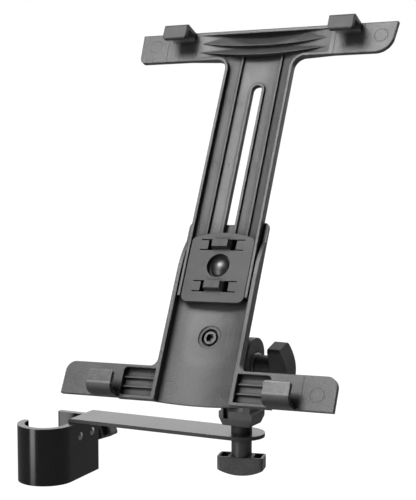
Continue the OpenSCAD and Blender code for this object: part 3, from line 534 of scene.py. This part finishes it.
def taperTabs(shape):
    # the clip tabs fill more of their slots and narrow towards their faces
    for vertex in shape.verts:
        place = vertex.co - holderAt
        across, up, out = (place.dot(way) * mmPerMetre for way in (acrossDir, upDir, outDir))
        middleUp = min(clipTabs["ups"], key=lambda value: abs(value - up))
        atSide = abs(abs(across) - clipTabs["half"]) < clipTabs["near"]
        if not atSide or abs(up - middleUp) >= clipTabs["tall"] / 2 + clipTabs["nearUp"]:
            continue
        shift = clipTabs["wider"] if across > 0 else -clipTabs["wider"]
        rise = 0.0
        if out > clipTabs["height"] - clipTabs["nearFace"]:
            shift -= clipTabs["rightSlope"] if across > 0 else -clipTabs["leftSlope"]
            rise = clipTabs["lowSlope"] if up < middleUp else -clipTabs["highSlope"]
        vertex.co += (acrossDir * shift + upDir * rise) / mmPerMetre
    shape.normal_update()


# the upper bar's slanted end, in millimetres in the holder's plane
upperEnd = {"tip": (96.0, 221.6), "low": 199.4, "radius": 12.0, "slant": 1.4}


def trimEnd(shape):
    # takes a sliver off the upper bar's end, so that its slope runs into its round corner
    tip, radius = Vector(upperEnd["tip"]), upperEnd["radius"]
    centre = Vector((tip.x - upperEnd["slant"] - radius, upperEnd["low"] + radius))
    reach = tip - centre
    turn = math.atan2(reach.y, reach.x) - math.acos(radius / reach.length)
    outward = acrossDir * math.cos(turn) + upDir * math.sin(turn)
    parts = shape.verts[:] + shape.edges[:] + shape.faces[:]
    cut = bmesh.ops.bisect_plane(shape, geom=parts, dist=meshSet["cut"], plane_no=outward,
                                 plane_co=holderPoint(tip.x, tip.y, 0), clear_outer=True)
    rim = [item for item in cut["geom_cut"] if isinstance(item, bmesh.types.BMEdge)]
    filled = bmesh.ops.holes_fill(shape, edges=rim)["faces"]
    bmesh.ops.triangulate(shape, faces=filled)
    bmesh.ops.recalc_face_normals(shape, faces=shape.faces)
    shape.normal_update()


# the clamp knob's stem, in metres
stemEnd = {"shorter": 0.00008, "near": 0.00001}


def shortenStem(shape):
    # the knob's stem stops just short of the jaw when the screw is fully in
    nearest = min(vertex.co.y for vertex in shape.verts)
    for vertex in [vertex for vertex in shape.verts if vertex.co.y < nearest + stemEnd["near"]]:
        vertex.co.y += stemEnd["shorter"]


def cornerNormals(shape, large, sharpAngle):
    # flats keep their own normal, and the curves beside them lead into it
    corners = {}
    for vertex in shape.verts:
        left = set(vertex.link_faces)
        while left:
            fan = [left.pop()]
            for face in fan:
                for edge in face.edges:
                    if vertex not in edge.verts or len(edge.link_faces) != 2:
                        continue
                    if edge.calc_face_angle(meshSet["openEdgeAngle"]) > sharpAngle:
                        continue
                    for other in edge.link_faces:
                        if other in left:
                            left.discard(other)
                            fan.append(other)
            leading = [face for face in fan if face.index in large] or fan
            total = Vector()
            for face in leading:
                total += face.normal * face.calc_area()
            for face in fan:
                alone = face.index in large or total.length < meshSet["noArea"]
                corners[(face.index, vertex.index)] = (face.normal if alone else total.normalized()).copy()
    return corners


# sharp is the angle in degrees past which an edge stays sharp
smoothPieces = [
    {"node": "upper_frame", "finish": "upperPlastic", "sharp": 20},
    {"node": "lower_frame", "finish": "lowerPlastic", "sharp": 24},
    {"node": "slide_plate", "finish": "platePlastic", "sharp": 30},
    {"node": "clamp_jaw", "finish": "jawCoat", "sharp": 30},
    {"node": "support_arm", "finish": "armCoat", "sharp": 30},
    {"node": "clamp_rivets", "finish": "rivetSteel", "sharp": 40},
    {"node": "pressure_pad", "finish": "padRubber", "sharp": 30},
    {"node": "clamp_knob", "finish": "knobPlastic", "sharp": 30},
    {"node": "swivel_knob", "finish": "knobPlastic", "sharp": 30},
    {"node": "tilt_knob", "finish": "shadedKnobPlastic", "sharp": 30},
    {"node": "swivel_spacer", "finish": "knobPlastic", "sharp": 30},
    {"node": "swivel_bolt", "finish": "brightSteel", "sharp": 40},
    {"node": "tilt_bolt", "finish": "brightSteel", "sharp": 40},
    {"node": "swivel_washer", "finish": "brightSteel", "sharp": 40},
    {"node": "tilt_washer", "finish": "brightSteel", "sharp": 40},
    {"node": "tilt_nut", "finish": "brightSteel", "sharp": 40},
    {"node": "yoke", "finish": "yokePlastic", "sharp": 30},
    {"node": "pivot_head", "finish": "yokePlastic", "sharp": 30},
    {"node": "friction_ring", "finish": "padRubber", "sharp": 40},
    {"node": "pivot_washer", "finish": "padRubber", "sharp": 40},
    {"node": "pivot_screw", "finish": "darkSteel", "sharp": 40},
    {"node": "slide_screw", "finish": "wellShadedSteel", "sharp": 40},
    {"node": "slide_nut", "finish": "brightSteel", "sharp": 40},
    {"node": "slide_washer", "finish": "brightSteel", "sharp": 40},
]
reshape = {"upper_frame": trimEnd, "slide_plate": taperTabs, "clamp_knob": shortenStem}


def smoothCopy(settings):
    # the solid's own shape, its triangles joined, with soft shading on its curves
    node = settings["node"]
    source = frame["nodes"][node]
    mesh = source.data.copy()
    mesh.transform(source.matrix_world)
    shape = bmesh.new()
    shape.from_mesh(mesh)
    bmesh.ops.remove_doubles(shape, verts=shape.verts, dist=meshSet["join"])
    if node in reshape:
        reshape[node](shape)
    for face in shape.faces:
        face.smooth = True
    large = largeFlats(shape, meshSet["leastFlat"])
    shape.verts.index_update()
    corners = cornerNormals(shape, large, math.radians(settings["sharp"]))
    shape.to_mesh(mesh)
    shape.free()
    mesh.normals_split_custom_set([corners[(face.index, vertex)]
                                   for face in mesh.polygons for vertex in face.vertices])
    piece = bpy.data.objects.new(node + "_look", mesh)
    bpy.context.scene.collection.objects.link(piece)
    finishPiece(piece, node, settings["finish"])


for settings in smoothPieces:
    smoothCopy(settings)
print("solids dressed:", len(smoothPieces))

# clamp screw: a dog point, a plain stretch and a thread up to the knob, in metres

clampThread = {"radius": 0.004, "depth": 0.00065, "pitch": 0.00125, "plain": 0.0085, "startShare": 0.75,
               "ridgeShare": 0.98, "sides": 48, "coilSteps": 40, "ridgeSides": 4, "sharp": 40}
clampPoint = {"face": 0.0022, "radius": 0.0028, "chamfer": 0.0006, "length": 0.0035, "neck": 0.0045}


def geometryTree(name, inputs):
    tree = bpy.data.node_groups.new(name, "GeometryNodeTree")
    for label, kind in inputs:
        tree.interface.new_socket(label, in_out="INPUT", socket_type=kind)
    tree.interface.new_socket("Geometry", in_out="OUTPUT", socket_type="NodeSocketGeometry")
    work = Tree(tree, "GeometryNode")
    return work, work.add("NodeGroupInput"), work.add("NodeGroupOutput")


def bakedMesh(name, tree, values):
    # runs a geometry tree once and keeps the result as a plain mesh
    host = bpy.data.objects.new(name, bpy.data.meshes.new(name))
    bpy.context.scene.collection.objects.link(host)
    modifier = host.modifiers.new("build", "NODES")
    modifier.node_group = tree
    for item in tree.interface.items_tree:
        if item.in_out == "INPUT" and item.name in values:
            modifier[item.identifier] = values[item.name]
    view = bpy.context.evaluated_depsgraph_get()
    mesh = bpy.data.meshes.new_from_object(host.evaluated_get(view))
    host.modifiers.clear()
    host.data = mesh
    return host


def threadTree():
    # a helical ridge, to wind round a core
    work, given, result = geometryTree("screw thread", [
        ("Geometry", "NodeSocketGeometry"), ("Core radius", "NodeSocketFloat"), ("Ridge", "NodeSocketFloat"),
        ("Length", "NodeSocketFloat"), ("Turns", "NodeSocketFloat"), ("Metal", "NodeSocketMaterial")])
    coil = work.add("CurveSpiral", None, {
        "Resolution": clampThread["coilSteps"], "Rotations": given.out("Turns"),
        "Start Radius": given.out("Core radius"), "End Radius": given.out("Core radius"),
        "Height": given.out("Length"), "Reverse": False})
    ridge = work.add("CurvePrimitiveCircle", None, {"Resolution": clampThread["ridgeSides"],
                                                    "Radius": given.out("Ridge")})
    wound = work.add("CurveToMesh", None, {"Curve": coil.out(0), "Profile Curve": ridge.out(0),
                                           "Fill Caps": True})
    flat = work.add("SetShadeSmooth", None, {"Geometry": wound.out(0), "Shade Smooth": False})
    whole = work.add("RealizeInstances", None, {"Geometry": flat.out(0)})
    done = work.add("SetMaterial", None, {"Geometry": whole.out(0), "Material": given.out("Metal")})
    work.feed(result.node.inputs[0], done.out(0))
    return work.tree


def turnedCore(shape, profile, startY, sides):
    # turns a profile of radius and distance pairs round the screw's axis
    rings = []
    for radius, along in profile:
        count = 1 if radius == 0 else sides
        angles = [2 * math.pi * step / count for step in range(count)]
        rings.append([shape.verts.new((radius * math.cos(angle), startY + along, radius * math.sin(angle)))
                      for angle in angles])
    for first, second in zip(rings, rings[1:]):
        for here in range(max(len(first), len(second))):
            after = here + 1
            corners = [first[here % len(first)], first[after % len(first)],
                       second[after % len(second)], second[here % len(second)]]
            # at a tip two corners are the same vertex, and the face is a triangle
            shape.faces.new(list(dict.fromkeys(corners)))


def clampScrew():
    low, high = (Vector(c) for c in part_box("clamp_screw"))
    length = high.y - low.y
    core = clampThread["radius"] - clampThread["depth"]
    threadLength = length - clampThread["plain"]
    screw = bakedMesh("clamp_screw_coil", threadTree(), {
        "Core radius": core, "Ridge": clampThread["depth"] * clampThread["ridgeShare"],
        "Length": threadLength, "Turns": threadLength / clampThread["pitch"],
        "Metal": finishes["brightSteel"]})
    shape = bmesh.new()
    shape.from_mesh(screw.data)
    shift = Matrix.Translation((0, low.y + clampThread["plain"] * clampThread["startShare"], 0))
    quarterBack = Matrix.Rotation(math.radians(-90), 4, "X")
    bmesh.ops.transform(shape, matrix=shift @ quarterBack, verts=shape.verts)
    point = clampPoint
    profile = [(0.0, 0.0), (point["face"], 0.0), (point["radius"], point["chamfer"]),
               (point["radius"], point["length"]), (core, point["neck"]), (core, length), (0.0, length)]
    turnedCore(shape, profile, low.y, clampThread["sides"])
    bmesh.ops.recalc_face_normals(shape, faces=shape.faces)
    shape.to_mesh(screw.data)
    shape.free()
    screw.data.set_sharp_from_angle(angle=math.radians(clampThread["sharp"]))
    screw.name = "clamp_screw_look"
    finishPiece(screw, "clamp_screw", "brightSteel")


clampScrew()
print("clamp screw threaded")

# camera, fitted to the photo: place in metres, turns in degrees, focal length in pixels

cameraSet = {"place": (0.51267, -0.81977, 0.24714), "yaw": 25.29, "pitch": 6.27, "focalPixels": 1400.0,
             "longSidePixels": 500, "sensor": 36.0, "nearest": 0.05, "farthest": 50.0}
yaw, pitch = math.radians(cameraSet["yaw"]), math.radians(cameraSet["pitch"])
ahead = Vector((-math.sin(yaw) * math.cos(pitch), math.cos(yaw) * math.cos(pitch), -math.sin(pitch)))
toRight = Vector((math.cos(yaw), math.sin(yaw), 0))
toTop = toRight.cross(ahead)
cameraData = bpy.data.cameras.new("photo camera")
cameraData.sensor_width = cameraSet["sensor"]
cameraData.lens = cameraSet["focalPixels"] * cameraSet["sensor"] / cameraSet["longSidePixels"]
cameraData.clip_start = cameraSet["nearest"]
cameraData.clip_end = cameraSet["farthest"]
camera = bpy.data.objects.new("photo camera", cameraData)
bpy.context.scene.collection.objects.link(camera)
turn = Matrix((toRight, toTop, -ahead)).transposed()
camera.matrix_world = Matrix.Translation(Vector(cameraSet["place"])) @ turn.to_4x4()
bpy.context.scene.camera = camera

# lamps: from is right, up and ahead as the camera sees them, sizes in metres, power in watts

# the point in the part's middle that the lamps face
middle = Vector((0.09, -0.03, 0.1))
lamps = [
    {"name": "soft box", "from": (-0.47, 0.76, -0.38), "away": 1.6, "size": (0.75, 0.75), "power": 31.5},
    {"name": "front", "from": (0.35, 0.30, -1.0), "away": 1.9, "size": (0.8, 0.8), "power": 1.4},
    {"name": "back", "from": (0.6, 1.1, 0.65), "away": 1.8, "size": (0.9, 0.9), "power": 13.0},
    {"name": "left strip", "from": (-0.79, 0.02, -0.6), "away": 1.5, "size": (0.56, 1.3), "power": 12.0},
]


def placeLamp(settings):
    data = bpy.data.lights.new(settings["name"], "AREA")
    data.shape = "RECTANGLE"
    data.size, data.size_y = settings["size"]
    data.energy = settings["power"]
    lamp = bpy.data.objects.new(settings["name"], data)
    bpy.context.scene.collection.objects.link(lamp)
    right, up, onward = settings["from"]
    way = toRight * right + toTop * up + ahead * onward
    lamp.location = middle + way.normalized() * settings["away"]
    lamp.rotation_euler = (middle - lamp.location).to_track_quat("-Z", "Y").to_euler()


for settings in lamps:
    placeLamp(settings)

# floor: lit where the shadow falls, white farther off, and dim in what the part mirrors

floorSet = {"below": 0.45, "half": 9.0, "dark": 0.80, "light": 0.84, "cloud": (3.0, 3.0, 0.5), "rough": 0.9,
            "cloudRough": 0.05, "near": 0.87, "whiteRamp": (500.0, 1500.0), "glow": 1.06, "mirrored": 0.22}


def floorFinish():
    look = Finish("pale floor")
    cloud = look.noise(*floorSet["cloud"])
    look.set({"Base Color": look.blend(cloud, grey(floorSet["dark"]), grey(floorSet["light"])),
              "Roughness": floorSet["rough"] + (cloud - 0.5) * floorSet["cloudRough"]})
    rays = look.add("LightPath")
    east, north = look.along(middle, (1, 0, 0)), look.along(middle, (0, 1, 0))
    away = (east * east + north * north) ** 0.5
    straight = rays.out("Is Camera Ray").atLeast(rays.out("Is Transmission Ray"))
    mirrored = rays.out("Is Glossy Ray")
    shown = mirrored.atLeast(straight * away.ramp(*floorSet["whiteRamp"], floorSet["near"], 1.0))
    shade = look.blend(mirrored, grey(1.0), grey(floorSet["mirrored"]))
    white = look.add("Emission", None, {"Color": shade, "Strength": floorSet["glow"]})
    mixed = look.add("MixShader", None, {0: shown, 1: look.surface.out(0), 2: white.out(0)})
    look.feed(look.output.node.inputs["Surface"], mixed.out(0))
    return look.material


floorZ = cadBounds[0][2] - floorSet["below"]
floorMesh = bpy.data.meshes.new("floor")
floorCorners = [(x * floorSet["half"], y * floorSet["half"], floorZ)
                for x, y in ((-1, -1), (1, -1), (1, 1), (-1, 1))]
floorMesh.from_pydata(floorCorners, [], [(0, 1, 2, 3)])
floorMesh.materials.append(floorFinish())
floor = bpy.data.objects.new("floor", floorMesh)
bpy.context.scene.collection.objects.link(floor)

# air: white to the camera, bright ahead and dark behind in what the part mirrors, and a little soft light

airSet = {"mirrorRamp": (0.1, 0.7, 0.04, 1.25), "soft": 0.05}
world = bpy.data.worlds.new("studio")
bpy.context.scene.world = world
world.use_nodes = True
air = Tree(world.node_tree, "ShaderNode")
air.tree.nodes.clear()
rays = air.add("LightPath")
direct = rays.out("Is Camera Ray").atLeast(rays.out("Is Transmission Ray"))
sky = air.add("TexCoord").out("Generated")
mirrored = rays.out("Is Glossy Ray") * air.dot(sky, tuple(ahead)).ramp(*airSet["mirrorRamp"])
soft = (1 - direct.atLeast(rays.out("Is Glossy Ray"))) * airSet["soft"]
sheet = air.add("Background", None, {"Color": grey(1.0), "Strength": direct.atLeast(mirrored) + soft})
air.add("OutputWorld", None, {"Surface": sheet.out(0)})

bpy.context.scene.view_settings.view_transform = "Standard"
print("camera, floor and light set")
